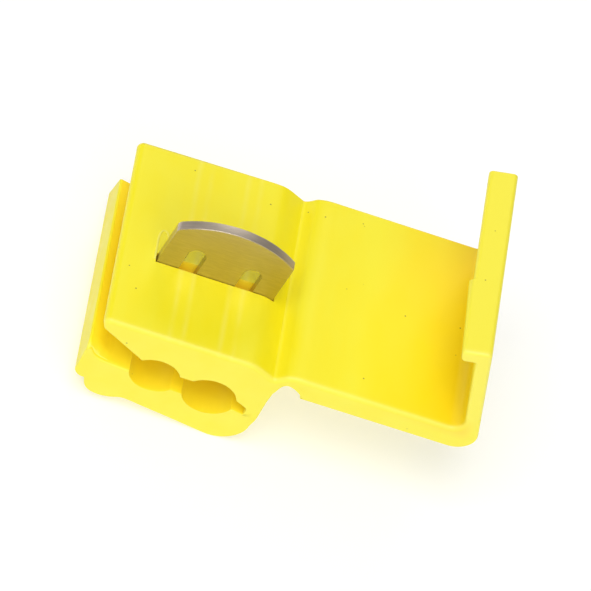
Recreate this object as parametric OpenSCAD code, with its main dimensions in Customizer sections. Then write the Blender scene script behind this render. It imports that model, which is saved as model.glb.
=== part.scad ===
// Tap splice wire connector, standing open with its blade contact raised.
// One wire passes through the run channel, which is open at its side. A second
// wire ends in the tap channel. The blade is pressed through both wires, then
// the cover folds over it and its latch arm hooks under the lower jaw.
//
// Section dimensions are taken in the plane across the wires: x runs to the
// right from the lower jaw's lip, and depths are measured down from the
// housing's flat top. The whole part is then placed with its origin on the run
// channel's axis, halfway along the body: +Y along the wires, +Z up.

/* [Housing] */
// Length of the moulding along the wires
body_len = 22.4; // [20:0.2:26]
// Width of the housing across both channels
body_w = 18.45; // [18.2:0.05:18.6]
// Height of the block from its flat top to its lowest edge
body_h = 12.85; // [12.6:0.05:13.4]
// Height of the thin left edge above the wire lead-in
nose_h = 1.45; // [1.3:0.05:1.6]
// Radius of the rounded upper left edge
nose_r = 0.7; // [0.4:0.05:1]

/* [Channels] */
// Radius of the run wire channel
run_r = 2.5; // [2.4:0.05:2.6]
// Radius of the tap wire channel
tap_r = 2.7; // [2.5:0.05:2.8]
// Distance between the channels across the body
channel_pitch = 5.8; // [5.7:0.05:5.9]
// Depth of the run channel's axis below the top
run_depth = 6.25; // [6.1:0.05:6.4]
// Depth of the tap channel's axis below the top
tap_depth = 6.85; // [6.7:0.05:7]
// Height of the gap that joins the two channels
gap_h = 2.4; // [2:0.1:2.6]
// Thickness of the wall that stops the tap wire
stop_t = 2.4; // [1.5:0.1:4]

/* [Lower jaw] */
// Depth of the lip's rounded upper edge
lip_depth = 4.65; // [4.4:0.05:5]
// Depth of the ledge that the latch hook catches
ledge_depth = 10; // [9.8:0.05:10.2]
// How much shorter the lip's upper edge is than the body, at the back
lip_setback = 1.8; // [0.5:0.1:3]

/* [Cover] */
// Thickness of the cover plate
cover_t = 2.8; // [2.4:0.1:3]
// Distance from the lip's face to the latch arm, across the open part
cover_reach = 36.9; // [36.8:0.05:37.2]

/* [Latch] */
// Thickness of the latch arm
arm_t = 1.5; // [1.2:0.1:1.8]
// Length of the arm from the cover plate to the underside of its hook
arm_len = 11.5; // [11.5:0.05:11.8]
// Angle at which the open arm leans towards the housing
arm_lean = 14.5; // [10:0.5:15]
// How far the hook stands out of the arm
hook_d = 1.35; // [1:0.05:1.4]
// How much further the hook stands out along its front part
hook_extra = 0.25; // [0.1:0.05:0.25]
// Share of the length that the deeper front part of the hook takes
hook_front = 0.4; // [0.2:0.02:0.8]
// Height of the hook
hook_h = 1.6; // [1.5:0.1:2]

/* [Blade contact] */
// Width of the blade
blade_w = 12.1; // [11.8:0.1:12.4]
// Thickness of the sheet that the blade is stamped from
blade_t = 1.0; // [0.8:0.05:1.2]
// Height of the raised blade above the housing, at its ends
blade_end_rise = 5.5; // [5:0.1:6.5]
// Height of the raised blade above the housing, at its crown
blade_crown_rise = 7.65; // [7:0.05:7.8]
// Width of each wire slot
wire_slot_w = 1.8; // [1.2:0.05:2.2]
// Height of the wire slots' round ends above the housing, blade raised
wire_slot_rise = 3.4; // [3:0.1:4]
// Depth of the raised blade's lower edge inside the housing
blade_sunk = 1.7; // [1.2:0.1:1.8]
// Distance from the body's front to the blade's front face
blade_y = 8.6; // [7:0.1:11]
// Clearance round the blade in its slot
blade_clear = 0.12; // [0.06:0.01:0.2]

/* [Hidden] */

yellow = [0.98, 0.90, 0.06];
tinned_metal = [0.74, 0.70, 0.62];

eps = 0.01;                        // overshoot of cutting shapes
run_x = 7.3;                       // run channel's axis from the lip's face
tap_x = run_x + channel_pitch;
tap_len = body_len - stop_t;
jaw_gap = 0.15;                    // between the housing and the jaw below it

// The blade straddles both channels, and is pressed until its crown lies a
// little below the housing's top
blade_x = (run_x + tap_x) / 2;
blade_travel = blade_crown_rise + 0.25;
// Recesses that take the pressed blade's three prongs
prong_clear = 0.3;
prong_depth = blade_sunk + blade_travel + prong_clear;

// Web between the housing and the cover
web_x0 = 17.8;                     // where the web leaves the housing
web_x1 = 21.2;                     // where it joins the cover
groove_depth = 1.25;

// The housing's upper left edge stands a little inside the lip's face
nose_x = 0.25;

// Outer face of the jaw's lip, the rounds above and below it, and the end of
// the ledge under it. The hook rides over the lower round.
lip_x = 0;
lip_top_r = 0.2;
lip_r = 1.1;
ledge_x = 1.2;
lip_end_depth = 11;                // where the lip's slanting end reaches the back
lip_end_x = 2;                     // how far across the slant reaches

// Strip that the jaw bends on, to the right of the relief slit
strip_top = 6.85;
strip_bottom = 8.1;
slit_x = 16.95;

// Outer corner between the cover and the latch arm
bend_x = 35.2;
bend_r = 2.3;
bend_fillet = 1.2;
arm_pivot = [cover_reach + arm_t / 2, 0.6];
arm_root = 2.4;                    // height above the cover where the arm begins
hook_nose_r = 0.8;
hook_bevel = 0.3;                  // on the two upper corners of the hook

// Points on an arc, from angle a0 to angle a1, in n steps
function arc(c, r, a0, a1, n) =
    [for (i = [0:n]) let (a = a0 + (a1 - a0) * i / n)
        [c[0] + r * cos(a), c[1] + r * sin(a)]];

// A point turned about a centre, anticlockwise
function turned(p, c, a) =
    let (dx = p[0] - c[0], dz = p[1] - c[1])
    [c[0] + dx * cos(a) - dz * sin(a), c[1] + dx * sin(a) + dz * cos(a)];

function leaning(p) = turned(p, arm_pivot, arm_lean);

// Upper edge of the section, from the flat top down into the hinge groove
groove_left = [[14.6, 0], [15.4, -0.06], [16, -0.25], [16.5, -0.5],
               [17.1, -0.85], [17.6, -1.12], [web_x0, -groove_depth]];

// The gap between the channels, which lies a little above their axes' middle
gap_lift = 0.1;
gap_bottom = -(run_depth + tap_depth) / 2 - gap_h / 2 + gap_lift;
gap_top = gap_bottom + gap_h;

// Where the wire lead-in meets the run channel, just inside its wall
neck_a = 138;
neck_r = run_r - 0.06;
neck_top = [run_x + neck_r * cos(neck_a), -run_depth + neck_r * sin(neck_a)];

// Housing section. Its lower edge runs through the channels' open space.
housing_points = concat(
    arc([nose_x + nose_r, -nose_r], nose_r, 180, 90, 6),
    groove_left,
    [[web_x0, -cover_t + 0.4], [body_w, -cover_t - 0.1],
     [body_w, -strip_top], [16.9, -strip_top], [14.9, -5.7],
     [14.2, gap_top], [run_x, gap_top], neck_top,
     [nose_x + 0.35, -nose_h]]);

// Lower jaw section, clockwise from the lip's top
jaw_points = concat(
    arc([lip_x + lip_top_r, -lip_depth - lip_top_r], lip_top_r, 180, 40, 5),
    [[0.75, -5.5], [1.15, -6], [1.65, -6.3], [2.4, -6.5], [5.04, -6.75],
     [run_x, gap_bottom], [tap_x, gap_bottom], [14.6, -7.9],
     [15.8, -7.7], [slit_x, -7.95], [slit_x, -strip_bottom],
     [body_w, -strip_bottom], [body_w, -8.4]],
    arc([14.9, 3.3 - body_h], 3.3, 0, -90, 8),
    [[11.9, 0.5 - body_h], [7.6, 1.2 - body_h], [5.4, 1.6 - body_h],
     [4.7, 1.1 - body_h], [4, 0.9 - body_h], [3.1, 0.85 - body_h],
     [2.15, 1.1 - body_h], [1.6, 1.7 - body_h], [1.3, -ledge_depth - 0.3],
     [ledge_x, -ledge_depth]],
    arc([lip_x + lip_r, lip_r - ledge_depth], lip_r, -90, -180, 6));

jaw_flexure_points = [[16.9, -strip_top], [body_w, -strip_top],
    [body_w, -strip_bottom], [slit_x, -strip_bottom], [slit_x, -7.95],
    [17.05, -7.2]];

// Thin web, with the groove above it and the arched notch below it
web_points = [[web_x0, -groove_depth], [18.1, -1.25], [18.5, -0.9],
    [19, -0.4], [19.7, -0.14], [20.8, 0], [web_x1, 0], [web_x1, -cover_t],
    [20.95, -2.3], [20.4, -1.87], [19.9, -1.58], [19.45, -1.46],
    [19.2, -1.6], [18.97, -1.95], [18.85, -2.35],
    [body_w, -cover_t - 0.1], [web_x0, -cover_t + 0.4]];

// Arc that joins a level face at height z to the leaning arm's face that
// stands at distance x when the arm is upright
function lean_corner(x, z, r, from, to) =
    let (q = leaning([x, 0]),
         cx = q[0] - (r + (z + r - q[1]) * sin(arm_lean)) / cos(arm_lean))
    arc([cx, z + r], r, from, to, 6);

// Section of the corner between the cover and the arm
bend_points = concat(
    [[bend_x, -cover_t]],
    lean_corner(cover_reach + arm_t, -cover_t, bend_r, -90, arm_lean),
    [leaning([cover_reach + arm_t, arm_root]), leaning([cover_reach, arm_root])],
    lean_corner(cover_reach, 0, bend_fillet, arm_lean, -90),
    [[bend_x, 0]]);

// Section of the arm and its hook, with the hook's nose rounded below
function arm_points(depth) =
    let (x = cover_reach, top = arm_len + hook_h)
    [for (p = concat(
        [[x, arm_root], [x + arm_t, arm_root], [x + arm_t, top - hook_bevel],
         [x + arm_t - hook_bevel, top], [x - depth + hook_bevel, top],
         [x - depth, top - hook_bevel]],
        arc([x - depth + hook_nose_r, arm_len + hook_nose_r], hook_nose_r,
            180, 270, 6),
        [[x, arm_len]])) leaning(p)];

// Places a shape that is drawn from the housing's upper left front edge
module placed() {
    translate([-run_x, -body_len / 2, run_depth]) children();
}

// A section across the wires, drawn out along them
module along_wires(points, len = body_len, y = 0) {
    translate([0, y + len, 0]) rotate([90, 0, 0])
        linear_extrude(len) polygon(points);
}

// A round rod or bore along the wires
module wire_bore(x, depth, r, len, y) {
    translate([x, y + len, -depth]) rotate([90, 0, 0])
        cylinder(r = r, h = len, $fn = 64);
}

module run_bore() {
    wire_bore(run_x, run_depth, run_r, body_len + 2 * eps, -eps);
}

// The tap channel stops short of the body's back
module tap_bore() {
    wire_bore(tap_x, tap_depth, tap_r, tap_len + eps, -eps);
}

// The space that the blade moves through, widened by a clearance
module blade_space(clear_x, depth) {
    translate([blade_x - blade_w / 2 - clear_x, blade_y - blade_clear, -depth])
        cube([blade_w + 2 * clear_x, blade_t + 2 * blade_clear, depth + eps]);
}

module housing() {
    stop_r = tap_r - jaw_gap;
    stop_h = gap_h - jaw_gap + 1;
    color(yellow) placed() difference() {
        union() {
            along_wires(housing_points);
            // Upper part of the wall that stops the tap wire. The jaw has the
            // lower part.
            intersection() {
                wire_bore(tap_x, tap_depth, stop_r, stop_t + 1, tap_len - 1);
                translate([tap_x - tap_r, tap_len - 1, gap_bottom + jaw_gap])
                    cube([2 * tap_r, stop_t + 1, stop_h]);
            }
        }
        run_bore();
        tap_bore();
        blade_space(blade_clear, prong_depth);
    }
}

module lower_jaw() {
    lip_cut_w = lip_end_x + 1;
    lip_end = [[body_len - lip_setback, 1 - lip_depth],
               [body_len - lip_setback, -lip_depth],
               [body_len + eps, -lip_end_depth], [body_len + eps, 1 - lip_depth]];
    color(yellow) placed() difference() {
        along_wires(jaw_points);
        run_bore();
        tap_bore();
        // The lip stops short of the body's back, and its end slants
        translate([-1, 0, 0]) rotate([90, 0, 90])
            linear_extrude(lip_cut_w) polygon(lip_end);
        blade_space(prong_clear, prong_depth);
    }
}

module jaw_flexure() {
    color(yellow) placed() along_wires(jaw_flexure_points);
}

module living_hinge() {
    color(yellow) placed() along_wires(web_points);
}

module cover_plate() {
    color(yellow) placed()
        translate([web_x1, 0, -cover_t])
            cube([bend_x - web_x1, body_len, cover_t]);
}

module latch_bend() {
    color(yellow) placed() along_wires(bend_points);
}

module latch_arm() {
    front_len = hook_front * body_len;
    color(yellow) placed() {
        along_wires(arm_points(hook_d + hook_extra), front_len);
        along_wires(arm_points(hook_d), body_len - front_len, front_len);
    }
}

// Blade with a crowned top and two wire slots that open downwards
module blade_contact() {
    half = blade_w / 2;
    sagitta = blade_crown_rise - blade_end_rise;
    crown_r = (half * half + sagitta * sagitta) / (2 * sagitta);
    color(tinned_metal) placed()
        translate([blade_x, blade_y, 0]) difference() {
            intersection() {
                translate([-half, 0, -blade_sunk])
                    cube([blade_w, blade_t, blade_sunk + blade_crown_rise]);
                translate([0, blade_t + 1, blade_crown_rise - crown_r])
                    rotate([90, 0, 0])
                        cylinder(r = crown_r, h = blade_t + 2, $fn = 96);
            }
            for (side = [-1, 1]) translate([side * channel_pitch / 2, 0, 0]) {
                translate([-wire_slot_w / 2, -1, -blade_sunk - 1])
                    cube([wire_slot_w, blade_t + 2,
                          blade_sunk + 1 + wire_slot_rise - wire_slot_w / 2]);
                translate([0, blade_t + 1, wire_slot_rise - wire_slot_w / 2])
                    rotate([90, 0, 0])
                        cylinder(d = wire_slot_w, h = blade_t + 2, $fn = 32);
            }
        }
}

housing();
lower_jaw();
jaw_flexure();
living_hinge();
cover_plate();
latch_bend();
latch_arm();
blade_contact();
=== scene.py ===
import math

import bmesh
import bpy
from mathutils import Matrix, Vector


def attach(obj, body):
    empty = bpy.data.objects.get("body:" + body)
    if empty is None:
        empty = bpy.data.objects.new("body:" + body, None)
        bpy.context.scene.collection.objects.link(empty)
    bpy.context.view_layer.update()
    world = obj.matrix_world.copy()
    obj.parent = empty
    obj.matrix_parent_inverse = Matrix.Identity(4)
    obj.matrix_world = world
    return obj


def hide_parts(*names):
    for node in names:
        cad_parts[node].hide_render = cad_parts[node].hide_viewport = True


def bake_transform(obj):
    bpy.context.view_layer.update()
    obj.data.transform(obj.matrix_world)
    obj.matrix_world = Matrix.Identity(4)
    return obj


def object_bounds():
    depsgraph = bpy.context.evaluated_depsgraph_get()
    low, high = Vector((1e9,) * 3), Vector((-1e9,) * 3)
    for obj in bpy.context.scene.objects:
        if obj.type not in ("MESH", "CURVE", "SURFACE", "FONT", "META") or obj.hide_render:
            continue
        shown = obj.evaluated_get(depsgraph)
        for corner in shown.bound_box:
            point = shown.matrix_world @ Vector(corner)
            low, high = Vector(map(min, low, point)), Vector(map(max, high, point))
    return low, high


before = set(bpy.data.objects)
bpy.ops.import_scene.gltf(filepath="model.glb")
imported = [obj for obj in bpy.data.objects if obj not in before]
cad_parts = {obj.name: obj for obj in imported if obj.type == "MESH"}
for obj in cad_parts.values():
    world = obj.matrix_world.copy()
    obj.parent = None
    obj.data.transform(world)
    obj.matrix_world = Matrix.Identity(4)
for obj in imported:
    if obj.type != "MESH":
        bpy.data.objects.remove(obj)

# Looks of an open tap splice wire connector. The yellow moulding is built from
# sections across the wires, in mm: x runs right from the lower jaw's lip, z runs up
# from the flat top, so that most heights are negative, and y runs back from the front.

CAD_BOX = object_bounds()
MM = 0.001

# ---------------------------------------------------------------- dimensions

# The housing, along the wires and across them
BODY_LEN, BODY_W = 22.4, 18.45
# The run wire's channel, and the tap wire's, which ends blind
RUN_X, RUN_Z, RUN_R = 7.3, -6.25, 2.5
TAP_X, TAP_Z, TAP_R = 13.1, -6.85, 2.7
RUN, TAP, TAP_LEN = (RUN_X, RUN_Z), (TAP_X, TAP_Z), 20.0
# The housing's nose, over the run channel's open side, the point that the face from
# it to the channel aims at, and where the flat top's back rim has narrowed
NOSE_X, NOSE_R, NOSE_H, NOSE_FOOT_R = 0.25, 0.7, 1.45, 0.35
NECK_AIM, TOP_X = (5.487, -4.617), 4.7
# Between the channels: the housing's lower face, and the jaw's upper face
GAP_TOP, GAP_BOTTOM = -5.25, -7.65
# The plug that closes the tap channel: its gap to the jaw, and where the line starts
# that runs along its right side to the slit
JAW_GAP, PLUG_AIM = 0.15, (14.9, -5.7)
# The strip that the jaw bends about, right of the slit between housing and jaw
STRIP_TOP, STRIP_BOTTOM, SLIT_X = -6.85, -8.1, 16.95
SLIT_TOP, SLIT_FOOT = (16.9, STRIP_TOP), (SLIT_X, -7.95)
# The jaw's latch ledge, its lip, and the slanting cut at the lip's back end
LEDGE_X, LEDGE_Z = 1.2, -10.0
LIP_Z, LIP_TOP_R, LIP_R = -4.65, 0.2, 1.1
LIP_SETBACK, LIP_END_Z, LIP_END_X = 1.8, -11.0, 2.0
# The line from the lip's inner side that ends at the run channel
MOUTH = ((2.9, -6.55), (5.04, -6.75))
# The cover, with the living hinge before it and the rounded corner after it
WEB_X0, WEB_X1 = 17.8, 21.2
COVER_T, COVER_MIDDLE, BEND_X, COVER_REACH = 2.8, 28, 35.2, 36.9
BEND_R, BEND_FILLET = 2.3, 1.2
# Where the hinge's underside meets the housing's wall, and the foot of their seam
WEB_ROOT, SEAM_FOOT = (BODY_W + 0.1, -3.4), (WEB_X0, -COVER_T + 0.4)
# The latch arm: thickness, length, lean in degrees, and height at which it starts
ARM_T, ARM_LEN, ARM_LEAN, ARM_ROOT = 1.5, 11.5, 14.5, 2.4
ARM_PIVOT = (COVER_REACH + ARM_T / 2, 0.6)
# The arm's hook, and its depth at distances from the front: it deepens up to a step,
# and is shallow behind it
HOOK_H, HOOK_R, HOOK_NOSE_R, HOOK_ROOT_R = 1.6, 0.45, 0.4, 0.12
HOOK_STEP_Y, HOOK_BACK = 0.4 * BODY_LEN, 1.35
HOOK_DEPTHS = [(0, 1.4), (1.0, 1.44), (0.6 * HOOK_STEP_Y, 1.58), (HOOK_STEP_Y - 0.15, 1.72),
               (HOOK_STEP_Y + 0.1, HOOK_BACK), (BODY_LEN, HOOK_BACK)]
# The blade: its middle, width, front face and thickness
BLADE_X, BLADE_W, BLADE_Y, BLADE_T = 10.2, 12.1, 8.6, 1.0
# Heights of its corners and crown over the flat top, and the depth it is sunk to
BLADE_END, BLADE_CROWN, BLADE_SUNK = 5.5, 7.65, 1.7
BLADE_LEFT_R, BLADE_RIGHT_R, BLADE_TILT = 0.8, 0.12, -2.8
WIRE_SLOT_W, WIRE_SLOT_TOP = 1.8, 3.4
# The blade's clearances: CLEAR at its ends in the housing and at its faces in the jaw,
# FIT at its faces in the housing, PRONG at its ends in the jaw. Then the slot's depth.
BLADE_CLEAR, BLADE_FIT, PRONG_CLEAR, PRONG_DEPTH = 0.12, 0.05, 0.3, 9.9
# The housing's slot is longer below its mouth, so that the leaning blade clears it
# when pressed
MOUTH_DEPTH, LEAN_CLEAR = 0.6, 0.25

# How far the ends of a section are rounded over. A rim stays under the radius of the
# rounded corner that it runs round.
SOFT, FIRM, CRISP, SEAM = 0.5, 0.2, 0.08, 0.0
NOSE_BACK, TOP_BACK = 0.55, 0.12
LIP_TOP_RIM, LIP_RIM, LIP_INNER_RIM = 0.16, 0.18, 0.3
ARM_FRONT_RIM, ARM_BACK_RIM, BLADE_RIM = 0.35, 0.1, 0.06
RIM_STEPS = 5
# Bevel on the edges that cutting leaves, and how far a cutter reaches past the part
CUT_BEVEL, PAST = 0.09, 2.0
# An edge that turns by more than this is sharp, in degrees
SHARP_ANGLE, SHARP_METAL = 40, 30


def placed(x, y, z):
    """A point of the section frame, in the part's frame in metres."""
    return Vector(((x - RUN_X) * MM, (y - BODY_LEN / 2) * MM, (z - RUN_Z) * MM))


# ------------------------------------------------------------ section outlines

def arc(centre, r, start, end, step=6):
    n = max(2, math.ceil(abs(end - start) / step))
    angles = [math.radians(start + (end - start) * i / n) for i in range(n + 1)]
    return [(centre[0] + r * math.cos(a), centre[1] + r * math.sin(a)) for a in angles]


def curve(points, n=5):
    """A smooth curve through the points (centripetal Catmull-Rom)."""
    pts = [Vector(p) for p in points]
    pts = [2 * pts[0] - pts[1], *pts, 2 * pts[-1] - pts[-2]]
    out = []
    for a, b, c, d in zip(pts, pts[1:], pts[2:], pts[3:]):
        t = [0.0]
        for p, q in ((a, b), (b, c), (c, d)):
            t.append(t[-1] + math.sqrt((q - p).length))
        for i in range(n):
            u = t[1] + (t[2] - t[1]) * i / n
            ab = a + (b - a) * ((u - t[0]) / (t[1] - t[0]))
            bc = b + (c - b) * ((u - t[1]) / (t[2] - t[1]))
            cd = c + (d - c) * ((u - t[2]) / (t[3] - t[2]))
            abc = ab + (bc - ab) * ((u - t[0]) / (t[2] - t[0]))
            bcd = bc + (cd - bc) * ((u - t[1]) / (t[3] - t[1]))
            out.append(tuple(abc + (bcd - abc) * ((u - t[1]) / (t[2] - t[1]))))
    return out + [tuple(points[-1])]


def split(points, x):
    """A curve that runs right, cut in two at x, with the cut point in both."""
    k = next(i for i, p in enumerate(points) if p[0] >= x - 1e-6)
    return points[:k] + [points[k]], points[k:]


def fillet(before, corner, after, r):
    """The arc that rounds a corner between two straight edges."""
    c, u, v = Vector(corner), Vector(before) - Vector(corner), Vector(after) - Vector(corner)
    half = u.angle(v) / 2
    reach = min(r / math.tan(half), 0.49 * u.length, 0.49 * v.length)
    p, q = c + u.normalized() * reach, c + v.normalized() * reach
    centre = c + (u.normalized() + v.normalized()).normalized() * (reach / math.cos(half))
    start, end = p - centre, q - centre
    turn = start.angle_signed(end)
    n = max(2, round(abs(math.degrees(turn)) / 12))
    return [tuple(centre + Matrix.Rotation(-turn * i / n, 2) @ start) for i in range(n + 1)]


def circle_cut(start, end, centre, r):
    """Where the straight edge from start to end crosses a circle, nearest its end."""
    run, offset = Vector(end) - Vector(start), Vector(start) - Vector(centre)
    a, b, c = run.dot(run), 2 * offset.dot(run), offset.dot(offset) - r * r
    root = math.sqrt(b * b - 4 * a * c)
    shares = [(-b + sign * root) / (2 * a) for sign in (-1, 1)]
    return tuple(Vector(start) + run * max(share for share in shares if 0 <= share <= 1))


def circle_at(centre, r, z, side):
    """The point of a circle at height z, on its right (side 1) or left (side -1)."""
    return centre[0] + side * math.sqrt(r ** 2 - (z - centre[1]) ** 2), z


def angle_at(centre, p):
    return math.degrees(math.atan2(p[1] - centre[1], p[0] - centre[0]))


def leaning(p):
    """A point of the upright latch arm, turned to where the open arm leans."""
    a, dx, dz = math.radians(ARM_LEAN), p[0] - ARM_PIVOT[0], p[1] - ARM_PIVOT[1]
    return (ARM_PIVOT[0] + dx * math.cos(a) - dz * math.sin(a),
            ARM_PIVOT[1] + dx * math.sin(a) + dz * math.cos(a))


# ------------------------------------------------------------- mesh building

def inset(outline, rims):
    """The direction and distance that each point of an outline moves inwards by,
    so that every edge moves by the amount its start point gives in rims."""
    n = len(outline)
    area = sum(a[0] * b[1] - b[0] * a[1] for a, b in zip(outline, outline[1:] + outline[:1]))
    side = 1 if area > 0 else -1
    moves = []
    for i in range(n):
        before, here, after = (Vector(outline[j % n]) for j in (i - 1, i, i + 1))
        u, v = (here - before).normalized(), (after - here).normalized()
        inward_u, inward_v = side * Vector((-u.y, u.x)), side * Vector((-v.y, v.x))
        rim_u, rim_v = rims[i - 1], rims[i]
        cross = inward_u.x * inward_v.y - inward_u.y * inward_v.x
        if abs(cross) > 0.3:
            moves.append(Vector(((rim_u * inward_v.y - rim_v * inward_u.y) / cross,
                                 (rim_v * inward_u.x - rim_u * inward_v.x) / cross)))
        else:
            mean = (inward_u + inward_v).normalized()
            moves.append(mean * ((rim_u + rim_v) / 2 / max(mean.dot(inward_u), 0.5)))
    return moves


def rounded_end(y_end, outline, inward, rims):
    """Rings that round over one end of a section, from its end face inwards."""
    moves = inset(outline, rims)
    deep = [max(a, b) for a, b in zip(rims, rims[-1:] + rims[:-1])]
    rings = []
    for k in range(RIM_STEPS + 1):
        a = math.pi / 2 * k / RIM_STEPS
        rings.append([(p[0] + move.x * (1 - math.sin(a)), y_end + inward * d * (1 - math.cos(a)),
                       p[1] + move.y * (1 - math.sin(a)))
                      for p, move, d in zip(outline, moves, deep)])
    return rings


def loft(name, stations, front_rims, back_rims):
    """A closed solid through section outlines at their stations along the wires,
    its two ends rounded over by their rims, one amount for each point."""
    rings = rounded_end(*stations[0], 1, front_rims)
    rings += [[(p[0], y, p[1]) for p in outline] for y, outline in stations[1:-1]]
    rings += rounded_end(*stations[-1], -1, back_rims)[::-1]

    bm = bmesh.new()
    levels = [[bm.verts.new(placed(*p)) for p in ring] for ring in rings]
    n = len(rings[0])
    for low, high in zip(levels, levels[1:]):
        for i in range(n):
            bm.faces.new((low[i], low[(i + 1) % n], high[(i + 1) % n], high[i]))
    bm.faces.new(levels[0][::-1])
    bm.faces.new(levels[-1])
    bmesh.ops.remove_doubles(bm, verts=bm.verts, dist=1e-7)
    bmesh.ops.dissolve_degenerate(bm, dist=1e-7, edges=bm.edges)
    bmesh.ops.recalc_face_normals(bm, faces=bm.faces)
    return add_mesh(name, bm)


def sections(name, stations):
    """A solid through sections at their stations along the wires. A section is a
    list of (points, rim), with a third value where the rim at the back differs."""
    first = stations[0][1]
    front = [run[1] for run in first for _ in run[0]]
    back = [run[-1] for run in first for _ in run[0]]
    outlines = [(y, [p for run in runs for p in run[0]]) for y, runs in stations]
    return loft(name, outlines, front, back)


def prism(name, runs, y0=0.0, y1=BODY_LEN):
    """One section drawn out along the wires."""
    return sections(name, [(y0, runs), (y1, runs)])


def add_mesh(name, bm):
    mesh = bpy.data.meshes.new(name)
    bm.to_mesh(mesh)
    bm.free()
    obj = bpy.data.objects.new(name, mesh)
    bpy.context.scene.collection.objects.link(obj)
    return obj


def box(x0, x1, y0, y1, z0, z1):
    """A cutting block."""
    bm = bmesh.new()
    bmesh.ops.create_cube(bm, size=1)
    low, high = placed(x0, y0, z0), placed(x1, y1, z1)
    for v in bm.verts:
        v.co = Vector([a + (b - a) * (c + 0.5) for a, b, c in zip(low, high, v.co)])
    return add_mesh("cutter", bm)


def wedge(x0, x1, side):
    """A cutting block whose outline is drawn as seen from the side, in y and z."""
    bm = bmesh.new()
    faces = [bm.faces.new([bm.verts.new(placed(x, *p)) for p in side]) for x in (x0, x1)]
    near, far = ([*f.verts] for f in faces)
    for i in range(len(side)):
        j = (i + 1) % len(side)
        bm.faces.new((near[i], near[j], far[j], far[i]))
    bmesh.ops.recalc_face_normals(bm, faces=bm.faces)
    return add_mesh("cutter", bm)


def tap_rod():
    """A cutting rod that bores the tap channel from the front to its blind end."""
    bm = bmesh.new()
    bmesh.ops.create_cone(bm, cap_ends=True, segments=96, radius1=TAP_R * MM,
                          radius2=TAP_R * MM, depth=(TAP_LEN + PAST) * MM)
    turn = Matrix.Rotation(math.pi / 2, 4, "X")
    middle = placed(TAP_X, (TAP_LEN - PAST) / 2, TAP_Z)
    bmesh.ops.transform(bm, matrix=Matrix.Translation(middle) @ turn, verts=bm.verts)
    return add_mesh("cutter", bm)


def blade_slot(past_ends, past_faces, top=PAST):
    """A cutting block that leaves room past the blade's ends and faces."""
    half = BLADE_W / 2 + past_ends
    return box(BLADE_X - half, BLADE_X + half, BLADE_Y - past_faces,
               BLADE_Y + BLADE_T + past_faces, -PRONG_DEPTH, top)


def apply_modifiers(obj):
    bpy.context.view_layer.update()
    graph = bpy.context.evaluated_depsgraph_get()
    mesh = bpy.data.meshes.new_from_object(obj.evaluated_get(graph))
    obj.modifiers.clear()
    old, obj.data = obj.data, mesh
    mesh.name = obj.name
    bpy.data.meshes.remove(old)


def cut(obj, *cutters):
    """Takes the cutters out of a piece, and softens the sharp edges that this leaves."""
    for cutter in cutters:
        boolean = obj.modifiers.new("cut", "BOOLEAN")
        boolean.operation, boolean.solver, boolean.object = "DIFFERENCE", "EXACT", cutter
    apply_modifiers(obj)
    for cutter in cutters:
        mesh = cutter.data
        bpy.data.objects.remove(cutter)
        bpy.data.meshes.remove(mesh)
    bevel = obj.modifiers.new("soften", "BEVEL")
    bevel.width, bevel.segments, bevel.miter_outer = CUT_BEVEL * MM, 2, "MITER_ARC"
    bevel.limit_method, bevel.angle_limit = "ANGLE", math.radians(SHARP_ANGLE)
    bevel.use_clamp_overlap = True
    apply_modifiers(obj)


# Attribute that keeps where each point is at rest, so that the plastic's pattern
# stays put where a piece bends
REST = "rest_place"


def finish_mesh(obj, material, angle=SHARP_ANGLE):
    """Smooth shading that keeps flat faces flat and sharp edges sharp."""
    obj.data.polygons.foreach_set("use_smooth", [True] * len(obj.data.polygons))
    obj.data.set_sharp_from_angle(angle=math.radians(angle))
    normals = obj.modifiers.new("normals", "WEIGHTED_NORMAL")
    normals.keep_sharp, normals.mode, normals.weight = True, "FACE_AREA", 50
    apply_modifiers(obj)
    rest = obj.data.attributes.new(REST, "FLOAT_VECTOR", "POINT")
    rest.data.foreach_set("vector", [c for v in obj.data.vertices for c in v.co])
    obj.data.materials.clear()
    obj.data.materials.append(material)


# ------------------------------------------------------------------ materials

# The yellows between which the plastic drifts, the paler yellows up the arm and in the flow
# lines, a painted highlight, painted shade, a painted glow and the dust specks
PURE, MILKY = (0.925, 0.795, 0.0025), (0.915, 0.820, 0.0220)
PALE, PALE_LINE, EDGE_HIGHLIGHT = (0.912, 0.812, 0.050), (0.93, 0.84, 0.10), (0.93, 0.86, 0.17)
FOOT_SHADE, GLOW, SPECK = (0.945, 0.690, 0.0060), (1.0, 0.62, 0.05), (0.16, 0.11, 0.02)
TIN_FACE, TIN_RIM, TIN_SCORED = (0.57, 0.48, 0.34), (0.62, 0.53, 0.43), 0.86
# Scales of the patterns: drift, breaks in the flow lines, specks, wear, grain, scoring
DRIFT, BREAKS, SPECKS, WEAR, GRAIN, SCORING = 260, 900, 420, 520, 4200, 900
# Roughness goes this far under and over its mean, and grain is this deep in metres
SMOOTHER, ROUGHER, GRAIN_DEPTH = 0.05, 0.07, 0.00002
# Flow lines: places across the part from its origin, and half their width
FLOW_LINES, FLOW_HALF = (-0.55, 0.75, 4.5, 5.85), 0.4
# The flat top's height over the part's origin, and how far under it the lines reach
TOP, TOP_SKIN = -RUN_Z, 0.3
# Distances that a zone covers, half on each side of the part's origin. A shorter one
# shows finer steps.
FINE_SPAN, WIDE_SPAN = 20, 80


def opaque(colour):
    """A colour with full opacity, or a grey where one number is given."""
    return (*colour, 1) if isinstance(colour, tuple) else (colour, colour, colour, 1)


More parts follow.
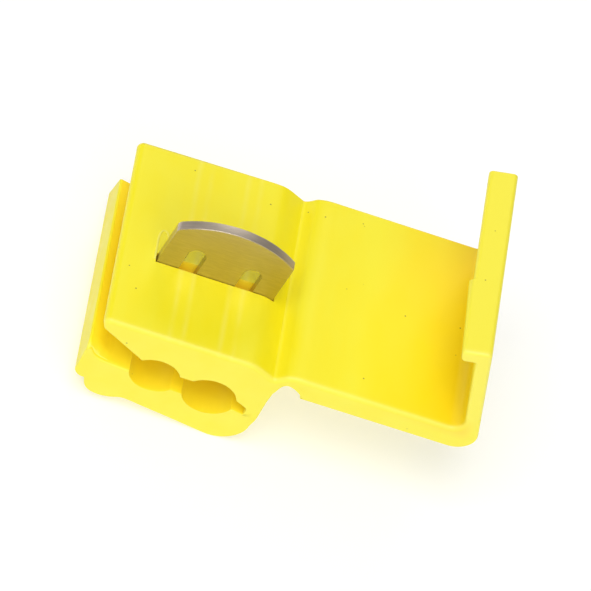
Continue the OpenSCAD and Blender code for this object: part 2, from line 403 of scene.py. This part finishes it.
class Graph:
    """Adds nodes to a material or world. Each call returns the new node's output."""

    def __init__(self, owner):
        owner.use_nodes = True
        self.nodes, self.links = owner.node_tree.nodes, owner.node_tree.links

    def feed(self, socket, value):
        """Links a socket to another node's output, or sets it to a plain value."""
        if isinstance(value, bpy.types.NodeSocket):
            self.links.new(value, socket)
        else:
            socket.default_value = value

    def add(self, kind, output, **inputs):
        """A new node, with the inputs that are named fed."""
        node = self.nodes.new(kind)
        for name, value in inputs.items():
            self.feed(node.inputs[name], value)
        return node.outputs[output]

    def noise(self, place, scale, detail):
        return self.add("ShaderNodeTexNoise", "Fac", Vector=place, Scale=scale, Detail=detail)

    def stretched(self, place, scale):
        return self.add("ShaderNodeMapping", "Vector", Vector=place, Scale=scale)

    def bump(self, height, strength):
        return self.add("ShaderNodeBump", "Normal", Height=height, Strength=strength,
                        Distance=GRAIN_DEPTH)

    def maths(self, operation, *values):
        node = self.nodes.new("ShaderNodeMath")
        node.operation = operation
        for socket, value in zip(node.inputs, values):
            self.feed(socket, value)
        return node.outputs["Value"]

    def ramp(self, source, *stops):
        """Colours or amounts that follow a value between 0 and 1."""
        node = self.nodes.new("ShaderNodeValToRGB")
        elements = node.color_ramp.elements
        while len(elements) < len(stops):
            elements.new(1.0)
        for element, (position, colour) in zip(elements, stops):
            element.position, element.color = position, opaque(colour)
        self.feed(node.inputs["Fac"], source)
        return node.outputs["Color"]

    def zone(self, distance, span, *stops):
        """An amount that follows a distance in metres, from stops in mm."""
        share = self.maths("MULTIPLY_ADD", distance, 1 / (span * MM), 0.5)
        return self.ramp(share, *[(0.5 + at / span, amount) for at, amount in stops])

    def mix(self, amount, under, over):
        """A colour laid over another one by an amount."""
        node = self.nodes.new("ShaderNodeMix")
        node.data_type = "RGBA"
        for socket, value in ((0, amount), (6, under), (7, opaque(over))):
            self.feed(node.inputs[socket], value)
        return node.outputs[2]


def add_flow_lines(graph, drawn_out, axes, colour):
    """Pale broken lines on the flat top, at both sides of each wire slot."""
    stops = [(x + side * FLOW_HALF, 1.0 - abs(side)) for x in FLOW_LINES for side in (-1, 0, 1)]
    lines = graph.zone(axes["X"], FINE_SPAN, *stops)
    on_top = graph.maths("GREATER_THAN", axes["Z"], (TOP - TOP_SKIN) * MM)
    broken = graph.ramp(graph.noise(drawn_out, BREAKS, 2), (0.35, 0.15), (0.65, 0.55))
    amount = graph.maths("MULTIPLY", graph.maths("MULTIPLY", lines, on_top), broken)
    return graph.mix(amount, colour, PALE_LINE)


def add_leaf_shade_and_paling(graph, axes, colour):
    """Painted shade: golden on top towards the arm's foot, standing in for the arm's shadow and
    the yellow light bounced between cover and arm; and paler up the arm.
    """
    paling = graph.zone(axes["Z"], WIDE_SPAN, (TOP + 0.3, 0.0), (TOP + 2.6, 0.9))
    colour = graph.mix(paling, colour, PALE)
    foot = graph.zone(axes["X"], WIDE_SPAN, (18.5, 0.0), (28.5, 1.0), (29.8, 1.0), (30.6, 0.0))
    upper = graph.zone(axes["Z"], WIDE_SPAN, (TOP - 1.3, 0.0), (TOP - 0.1, 1.0),
                       (TOP + 0.6, 1.0), (TOP + 2.3, 0.0))
    return graph.mix(graph.maths("MULTIPLY", foot, upper), colour, FOOT_SHADE)


def add_edge_highlight(graph, axes, colour):
    """Painted highlight: paler just behind the front faces, standing in for the light that comes
    in round the edges.
    """
    front = -BODY_LEN / 2
    amount = graph.zone(axes["Y"], WIDE_SPAN, (front, 0.18), (front + 0.15, 0.62),
                        (front + 0.6, 0.0))
    return graph.mix(amount, colour, EDGE_HIGHLIGHT)


def plastic(name, low, high, roughness, glow=0.0, leaf=False, front_highlight=True):
    """Moulded polypropylene: two yellows drift along the wires, with fine grain and a
    few dark specks."""
    mat = bpy.data.materials.new(name)
    graph = Graph(mat)
    attribute = graph.nodes.new("ShaderNodeAttribute")
    attribute.attribute_name = REST
    place = attribute.outputs["Vector"]
    drawn_out = graph.stretched(place, (1, 0.35, 1))
    axes = graph.add("ShaderNodeSeparateXYZ", "X", Vector=place).node.outputs

    colour = graph.ramp(graph.noise(drawn_out, DRIFT, 3), (0.34, low), (0.66, high))
    colour = add_flow_lines(graph, drawn_out, axes, colour)
    if leaf:
        colour = add_leaf_shade_and_paling(graph, axes, colour)
    if front_highlight:
        colour = add_edge_highlight(graph, axes, colour)
    spots = graph.add("ShaderNodeTexVoronoi", "Distance", Vector=place, Scale=SPECKS)
    colour = graph.mix(graph.ramp(spots, (0.022, 0.75), (0.045, 0.0)), colour, SPECK)
    worn = graph.ramp(graph.noise(place, WEAR, 4), (0.3, roughness - SMOOTHER),
                      (0.7, roughness + ROUGHER))

    shader = graph.nodes["Principled BSDF"].inputs
    graph.feed(shader["Base Color"], colour)
    graph.feed(shader["Normal"], graph.bump(graph.noise(place, GRAIN, 4), 0.25))
    graph.feed(shader["Roughness"], worn)
    shader["IOR"].default_value = 1.49
    # Painted light: where glow is given, the plastic gives off light of its own
    shader["Emission Color"].default_value = opaque(GLOW)
    shader["Emission Strength"].default_value = glow
    return mat


def tinned(name, colour, roughness, scale):
    """Tin plate, with fine scoring along the sheet."""
    mat = bpy.data.materials.new(name)
    graph = Graph(mat)
    place = graph.add("ShaderNodeTexCoord", "Object")
    score = graph.noise(graph.stretched(place, scale), SCORING, 5)
    scored = tuple(c * TIN_SCORED for c in colour)
    shader = graph.nodes["Principled BSDF"].inputs
    graph.feed(shader["Normal"], graph.bump(score, 0.3))
    graph.feed(shader["Base Color"], graph.ramp(score, (0.3, scored), (0.75, colour)))
    shader["Metallic"].default_value = 1.0
    shader["Roughness"].default_value = roughness
    return mat


YELLOW = plastic("yellow_plastic", PURE, MILKY, 0.40)
# Painted shade on the cover towards the arm's foot, and paler up the arm
LEAF_YELLOW = plastic("yellow_plastic_leaf", PURE, MILKY, 0.40, leaf=True)
# The bead's paler yellow is a painted highlight along it
BEAD_HIGHLIGHT_YELLOW = plastic("yellow_plastic_bead_highlight", (0.920, 0.835, 0.080), (0.920, 0.845, 0.120), 0.40)
# Painted light: inside the channels and the slot, deeper yellows and a glow of their own stand
# in for the light that gathers through the plastic
CHANNEL_GLOW = plastic("yellow_plastic_channel_glow", (0.955, 0.765, 0.0120), (0.950, 0.785, 0.0220), 0.50,
                 glow=0.04, front_highlight=False)
SLOT_GLOW = plastic("yellow_plastic_slot_glow", (0.940, 0.800, 0.0150), (0.940, 0.815, 0.0300), 0.50,
                    glow=0.14, front_highlight=False)
TIN = tinned("tin_plate", TIN_FACE, 0.30, (1, 1, 6))
TIN_EDGE = tinned("tin_plate_edge", TIN_RIM, 0.45, (1, 8, 1))

# A wall beside the wires has less than BESIDE of its normal along them, one across
# them has more than ACROSS, and one turned this far left is outside the channels
BESIDE, ACROSS, LEFTWARD = 0.5, 0.9, -0.95
# The slot's walls lie within this distance of the blade's faces
SLOT_MARGIN = 0.3


def line_channels(obj, x_range, z_range):
    """Gives the channels' walls, inside a region, and the blade slot's walls their
    own deeper, glowing materials: painted light that stands in for light gathering in these
    hollows."""
    low, high = placed(x_range[0], 0, z_range[0]), placed(x_range[1], 0, z_range[1])
    slot_front = placed(0, BLADE_Y - SLOT_MARGIN, 0).y
    slot_back = placed(0, BLADE_Y + BLADE_T + SLOT_MARGIN, 0).y
    obj.data.materials.append(CHANNEL_GLOW)
    obj.data.materials.append(SLOT_GLOW)
    for face in obj.data.polygons:
        at, along = face.center, abs(face.normal.y)
        facing_in = along < BESIDE and face.normal.x > LEFTWARD
        if low.x < at.x < high.x and low.z < at.z < high.z and facing_in:
            face.material_index = 1
        if along > ACROSS and slot_front < at.y < slot_back:
            face.material_index = 2


# ------------------------------------------------------- the yellow moulding

# The flat top with the hinge's groove, and the hinge's underside
UPPER_LINE = curve([(14.0, 0), (14.8, -0.01), (15.4, -0.06), (16, -0.25), (16.5, -0.5),
                    (17.1, -0.85), (17.6, -1.12), (WEB_X0, -1.22), (18.1, -1.17), (18.5, -0.85),
                    (19, -0.35), (19.7, -0.1), (20.5, 0), (WEB_X1, 0)])
HOUSING_TOP, HINGE_TOP = split(UPPER_LINE, WEB_X0)
LOWER_LINE = curve([WEB_ROOT, (18.7, -2.9), (18.83, -2.35), (18.98, -1.9), (19.2, -1.6),
                    (19.45, -1.46), (19.9, -1.56), (20.4, -1.85), (20.9, -2.3),
                    (WEB_X1 - 0.1, -COVER_T)]) + [(WEB_X1, -COVER_T)]


def build_housing():
    nose = (NOSE_X + NOSE_FOOT_R, -NOSE_H)
    neck = circle_cut(nose, NECK_AIM, RUN, RUN_R)
    run_end = circle_at(RUN, RUN_R, GAP_TOP, 1)
    plug_r, plug_z = TAP_R - JAW_GAP, GAP_BOTTOM + JAW_GAP
    right = circle_cut(PLUG_AIM, SLIT_TOP, TAP, plug_r)
    low_right, low_left = (circle_at(TAP, plug_r, plug_z, side) for side in (1, -1))
    left = circle_at(TAP, plug_r, GAP_TOP, -1)
    obj = prism("housing_block", [
        (arc((NOSE_X + NOSE_R, -NOSE_R), NOSE_R, 180, 90, 10), SOFT, NOSE_BACK),
        ([(TOP_X, 0), *HOUSING_TOP[:-1]], SOFT, TOP_BACK),
        ([HOUSING_TOP[-1], SEAM_FOOT], SEAM),
        ([WEB_ROOT, (BODY_W, -5.0)], FIRM),
        ([(BODY_W, STRIP_TOP)], SEAM),
        ([SLIT_TOP], CRISP),
        (arc(TAP, plug_r, angle_at(TAP, right), angle_at(TAP, low_right)), CRISP),
        (arc(TAP, plug_r, angle_at(TAP, low_left), angle_at(TAP, left) - 360), CRISP),
        (arc(RUN, RUN_R, angle_at(RUN, run_end), angle_at(RUN, neck))[:-1], CRISP),
        ([neck], FIRM),
        (fillet(neck, nose, (NOSE_X + 0.02, -NOSE_R - 0.05), NOSE_FOOT_R), FIRM),
    ])
    cut(obj, tap_rod(), blade_slot(BLADE_CLEAR, BLADE_FIT),
        blade_slot(BLADE_CLEAR + LEAN_CLEAR, BLADE_FIT, -MOUTH_DEPTH))
    finish_mesh(obj, YELLOW)
    line_channels(obj, (0.6, SLIT_TOP[0]), (LEDGE_Z, -NOSE_H - 0.05))
    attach(obj, "housing")
    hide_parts("housing")


# Run of the raised bead beside the blade's slot, seen from above, and its section
BEAD_RUN = [(3.9, 8.75), (3.9, 10.2), (3.92, 11.6), (4.06, 12.15), (4.3, 12.42),
            (4.6, 12.35), (4.82, 12.0), (4.93, 11.3), (4.95, 9.8)]
BEAD_SECTION = [(-0.11, -0.05), (-0.11, 0.04), (-0.05, 0.11), (0.05, 0.11), (0.11, 0.04),
                (0.11, -0.05)]


def build_slot_bead():
    run = [Vector(p) for p in curve(BEAD_RUN)]
    bm = bmesh.new()
    rings = []
    for i, at in enumerate(run):
        along = (run[min(i + 1, len(run) - 1)] - run[max(i - 1, 0)]).normalized()
        side = Vector((along.y, -along.x))
        rings.append([bm.verts.new(placed(*(at + side * u), w)) for u, w in BEAD_SECTION])
    for near, far in zip(rings, rings[1:]):
        for j in range(len(near)):
            k = (j + 1) % len(near)
            bm.faces.new((near[j], near[k], far[k], far[j]))
    bm.faces.new(rings[0])
    bm.faces.new(rings[-1][::-1])
    bmesh.ops.recalc_face_normals(bm, faces=bm.faces)
    obj = add_mesh("slot_bead", bm)
    finish_mesh(obj, BEAD_HIGHLIGHT_YELLOW)
    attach(obj, "housing")


# Inner side of the lip, along most of its length and at its front end
LIP_INNER = [(0.6, -4.8), (1.1, -5.02), (1.65, -5.45), (2.2, -6.0), (2.9, -6.45)]
LIP_INNER_FRONT = [(0.5, -5.2), (0.8, -5.65), (1.15, -6.05), (1.65, -6.32), (2.4, -6.5)]
LIP_FRONT_DROP = 0.5
# Distances from the front, and how nearly the lip has its front end's shape there
LIP_STATIONS = [(0, 1), (0.35, 0.7), (0.8, 0.35), (1.5, 0), (BODY_LEN, 0)]
# The jaw's underside, from the round below its root to the ledge
JAW_ROUND, JAW_ROUND_R = (14.9, -9.55), 3.3
BELLY = curve([(14.9, -12.85), (13.6, -12.66), (11.9, -12.35), (9.7, -11.98), (7.6, -11.65),
               (6.2, -11.4), (5.4, -11.38), (4.7, -11.7), (4.0, -11.93), (3.1, -11.99),
               (2.15, -11.72), (1.6, -11.15), (1.32, -10.4)], 3)


def jaw_section(nearness):
    """Section of the jaw, with the lip dropping towards its front end."""
    top_z = LIP_Z - LIP_FRONT_DROP * nearness ** 2
    inner = [tuple(Vector(a).lerp(Vector(b), nearness))
             for a, b in zip(LIP_INNER, LIP_INNER_FRONT)]
    mouth = circle_cut(*MOUTH, RUN, RUN_R)
    run_end = circle_at(RUN, RUN_R, GAP_BOTTOM, 1)
    return [
        (arc((LIP_TOP_R, top_z - LIP_TOP_R), LIP_TOP_R, 180, 40, 20), LIP_TOP_RIM),
        (curve(inner), LIP_INNER_RIM, FIRM),
        (arc(RUN, RUN_R, angle_at(RUN, mouth), angle_at(RUN, run_end)), CRISP),
        ([(14.6, -7.9), (15.8, -7.7)], CRISP),
        ([SLIT_FOOT, (SLIT_X, STRIP_BOTTOM)], SEAM),
        ([(BODY_W, STRIP_BOTTOM), (BODY_W - 0.06, -8.6)], FIRM),
        (arc(JAW_ROUND, JAW_ROUND_R, 0, -84), FIRM),
        (BELLY, FIRM),
        ([(LEDGE_X, LEDGE_Z)], FIRM),
        (arc((LIP_R, LEDGE_Z + LIP_R), LIP_R, -90, -180), LIP_RIM),
    ]


def build_jaw():
    stations = [(y, jaw_section(nearness)) for y, nearness in LIP_STATIONS]
    obj = sections("lower_jaw_block", stations)
    setback, past_end, past_top = BODY_LEN - LIP_SETBACK, BODY_LEN + PAST, LIP_Z + PAST
    cut(obj, tap_rod(), blade_slot(PRONG_CLEAR, BLADE_CLEAR),
        wedge(-PAST, LIP_END_X, [(setback, past_top), (setback, LIP_Z), (BODY_LEN, LIP_END_Z),
                                 (past_end, LIP_END_Z), (past_end, past_top)]))
    finish_mesh(obj, YELLOW)
    line_channels(obj, (0.3, SLIT_TOP[0]), (LEDGE_Z + 0.3, LIP_Z))
    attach(obj, "lower_jaw")
    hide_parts("lower_jaw")


def build_jaw_flexure():
    obj = prism("jaw_flexure_strip", [
        ([SLIT_TOP], SEAM),
        ([(BODY_W, STRIP_TOP)], FIRM),
        ([(BODY_W, STRIP_BOTTOM), (SLIT_X, STRIP_BOTTOM)], SEAM),
        ([SLIT_FOOT, (17.02, -7.55), (17.03, -7.2)], CRISP),
    ])
    finish_mesh(obj, YELLOW)
    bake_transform(obj)
    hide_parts("jaw_flexure")


def build_hinge():
    obj = prism("living_hinge_web", [
        (HINGE_TOP[:-1], SOFT, FIRM),
        ([HINGE_TOP[-1]], SEAM),
        (LOWER_LINE[:0:-1], FIRM),
        ([LOWER_LINE[0], SEAM_FOOT], SEAM),
    ])
    finish_mesh(obj, YELLOW)
    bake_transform(obj)
    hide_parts("living_hinge")


def build_cover():
    obj = prism("cover_leaf", [
        ([(WEB_X1, 0), (COVER_MIDDLE, 0)], SOFT, FIRM),
        ([(BEND_X, 0)], SEAM),
        ([(BEND_X, -COVER_T), (COVER_MIDDLE, -COVER_T)], FIRM),
        ([(WEB_X1, -COVER_T)], SEAM),
    ])
    finish_mesh(obj, LEAF_YELLOW)
    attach(obj, "cover")
    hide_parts("cover_plate")


def lean_corner(x, z, r, start, end):
    """The arc from a level face at height z to the leaning face that stands at x."""
    a, q = math.radians(ARM_LEAN), leaning((x, 0))
    cx = q[0] - (r + (z + r - q[1]) * math.sin(a)) / math.cos(a)
    return arc((cx, z + r), r, start, end)


def build_bend():
    obj = prism("latch_bend_corner", [
        ([(BEND_X, -COVER_T)], FIRM),
        (lean_corner(COVER_REACH + ARM_T, -COVER_T, BEND_R, -90, ARM_LEAN), FIRM),
        ([leaning((COVER_REACH + ARM_T, ARM_ROOT))], SEAM),
        ([leaning((COVER_REACH, ARM_ROOT))], SOFT, FIRM),
        (lean_corner(COVER_REACH, 0, BEND_FILLET, ARM_LEAN, -90), SOFT, FIRM),
        ([(BEND_X, 0)], SEAM),
    ])
    finish_mesh(obj, LEAF_YELLOW)
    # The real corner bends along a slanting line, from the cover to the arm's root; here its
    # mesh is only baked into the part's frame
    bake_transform(obj)
    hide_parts("latch_bend")


def arm_outline(depth):
    """Section of the arm, where its hook has this depth."""
    x, out, top = COVER_REACH, COVER_REACH + ARM_T, ARM_LEN + HOOK_H
    tip = x - depth
    points = [(x, ARM_ROOT), (out, ARM_ROOT)]
    points += fillet((out, ARM_ROOT), (out, top), (tip, top), HOOK_R)
    points += fillet((out, top), (tip, top), (tip, ARM_LEN), HOOK_R)
    points += arc((tip + HOOK_NOSE_R, ARM_LEN + HOOK_NOSE_R), HOOK_NOSE_R, 180, 268, 11)
    points += arc((x - HOOK_ROOT_R, ARM_LEN - HOOK_ROOT_R), HOOK_ROOT_R, 90, 0, 45)
    return [leaning(p) for p in points]


def build_arm():
    stations = [(y, arm_outline(depth)) for y, depth in HOOK_DEPTHS]
    others = len(stations[0][1]) - 1
    obj = loft("latch_arm_hook", stations, [SEAM] + [ARM_FRONT_RIM] * others,
               [SEAM] + [ARM_BACK_RIM] * others)
    finish_mesh(obj, LEAF_YELLOW)
    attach(obj, "latch_arm")
    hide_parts("latch_arm")


# --------------------------------------------------------------- metal blade

def build_blade():
    half, rise = BLADE_W / 2, BLADE_CROWN - BLADE_END
    crown_r = (half ** 2 + rise ** 2) / (2 * rise)
    edge = math.degrees(math.asin(half / crown_r))
    crown = arc((0, BLADE_CROWN - crown_r), crown_r, 90 + edge, 90 - edge, 2)
    left, right = (-half, -BLADE_SUNK), (half, -BLADE_SUNK)
    # The left corner's rounding takes the place of the crown's first points
    outline = [left] + fillet(left, crown[0], crown[4], BLADE_LEFT_R) + crown[4:-1]
    outline += fillet(crown[-3], crown[-1], right, BLADE_RIGHT_R) + [right]
    for centre in ((TAP_X - RUN_X) / 2, -(TAP_X - RUN_X) / 2):
        r = WIRE_SLOT_W / 2
        outline += [(centre + r, -BLADE_SUNK)]
        outline += arc((centre, WIRE_SLOT_TOP - r), r, 0, 180, 9)
        outline += [(centre - r, -BLADE_SUNK)]
    turn = Matrix.Rotation(math.radians(BLADE_TILT), 2)
    outline = [tuple(Vector((BLADE_X, 0)) + turn @ Vector(p)) for p in outline]
    obj = prism("idc_blade", [(outline, BLADE_RIM)], BLADE_Y, BLADE_Y + BLADE_T)
    finish_mesh(obj, TIN, SHARP_METAL)
    obj.data.materials.append(TIN_EDGE)
    for face in obj.data.polygons:
        upward_edge = face.normal.z > 0.3 and abs(face.normal.y) < 0.3
        face.material_index = int(upward_edge)
    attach(obj, "blade")
    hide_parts("blade_contact")


# --------------------------------------------------------- studio and camera

# The camera in the part's frame, in metres: the point it looks at, the direction
# back to it, and its right-hand side
CAMERA_AIM = (0.01159, 0.00047, 0.00383)
CAMERA_TOWARD = (-0.18519, -0.60216, 0.77660)
CAMERA_RIGHT = (0.93603, 0.13258, 0.32600)
CAMERA_DISTANCE, CAMERA_LENS, CAMERA_SENSOR = 0.58675, 365.5, 36


def build_camera():
    data = bpy.data.cameras.new("camera")
    data.lens, data.sensor_width = CAMERA_LENS, CAMERA_SENSOR
    data.clip_start, data.clip_end = 0.01, 10
    camera = bpy.data.objects.new("camera", data)
    bpy.context.scene.collection.objects.link(camera)
    back = Vector(CAMERA_TOWARD).normalized()
    right = Vector(CAMERA_RIGHT)
    right = (right - back * right.dot(back)).normalized()
    up = back.cross(right)
    turn = Matrix((right, up, back)).transposed().to_4x4()
    turn.translation = Vector(CAMERA_AIM) + back * CAMERA_DISTANCE
    camera.matrix_world = turn
    bpy.context.scene.camera = camera


# The studio is darker above and behind, where the flat top mirrors it. The floor
# gives off a little light of its own, so that it stays white round the part.
DARK_SIDE = (0.185, 0.602, 0.777)
SKY_BRIGHT, SKY_DARK = 0.66, 0.22
FLOOR_R, FLOOR_SHADE, FLOOR_GLOW = 1.2, 0.60, 0.45


def area_light(name, place, size, power):
    """A round lamp that points at the part."""
    data = bpy.data.lights.new(name, "AREA")
    data.shape, data.size, data.energy = "DISK", size, power
    lamp = bpy.data.objects.new(name, data)
    bpy.context.scene.collection.objects.link(lamp)
    lamp.location = place
    lamp.rotation_mode = "QUATERNION"
    lamp.rotation_quaternion = (-Vector(place)).to_track_quat("-Z", "Y")


def build_floor():
    bm = bmesh.new()
    bmesh.ops.create_circle(bm, cap_ends=True, segments=96, radius=FLOOR_R)
    floor = add_mesh("floor", bm)
    floor.location = (0, 0, CAD_BOX[0].z)
    mat = bpy.data.materials.new("pale_floor")
    shader = Graph(mat).nodes["Principled BSDF"].inputs
    shader["Base Color"].default_value = opaque(FLOOR_SHADE)
    shader["Roughness"].default_value = 0.9
    shader["Emission Color"].default_value = opaque(1.0)
    shader["Emission Strength"].default_value = FLOOR_GLOW
    floor.data.materials.append(mat)


def build_sky():
    """Pale all round, and darker on one side."""
    world = bpy.data.worlds.new("studio")
    graph = Graph(world)
    place = graph.add("ShaderNodeTexCoord", "Generated")
    toward = graph.nodes.new("ShaderNodeVectorMath")
    toward.operation = "DOT_PRODUCT"
    graph.feed(toward.inputs[0], place)
    graph.feed(toward.inputs[1], DARK_SIDE)
    sky = graph.ramp(toward.outputs["Value"], (0.25, SKY_BRIGHT), (0.85, SKY_DARK))
    sky.node.color_ramp.interpolation = "EASE"
    graph.feed(graph.nodes["Background"].inputs["Color"], sky)
    graph.nodes["Background"].inputs["Strength"].default_value = 1.0
    bpy.context.scene.world = world


def build_studio():
    build_floor()
    build_sky()
    area_light("key", (-0.13, -0.17, 0.57), 0.40, 1.9)
    area_light("front", (0.13, -0.54, 0.42), 0.28, 0.6)
    area_light("back", (0.04, 0.46, 0.34), 0.30, 0.55)
    bpy.context.scene.view_settings.view_transform = "Standard"


build_housing()
build_slot_bead()
build_jaw()
build_jaw_flexure()
build_hinge()
build_cover()
build_bend()
build_arm()
build_blade()
build_studio()
build_camera()
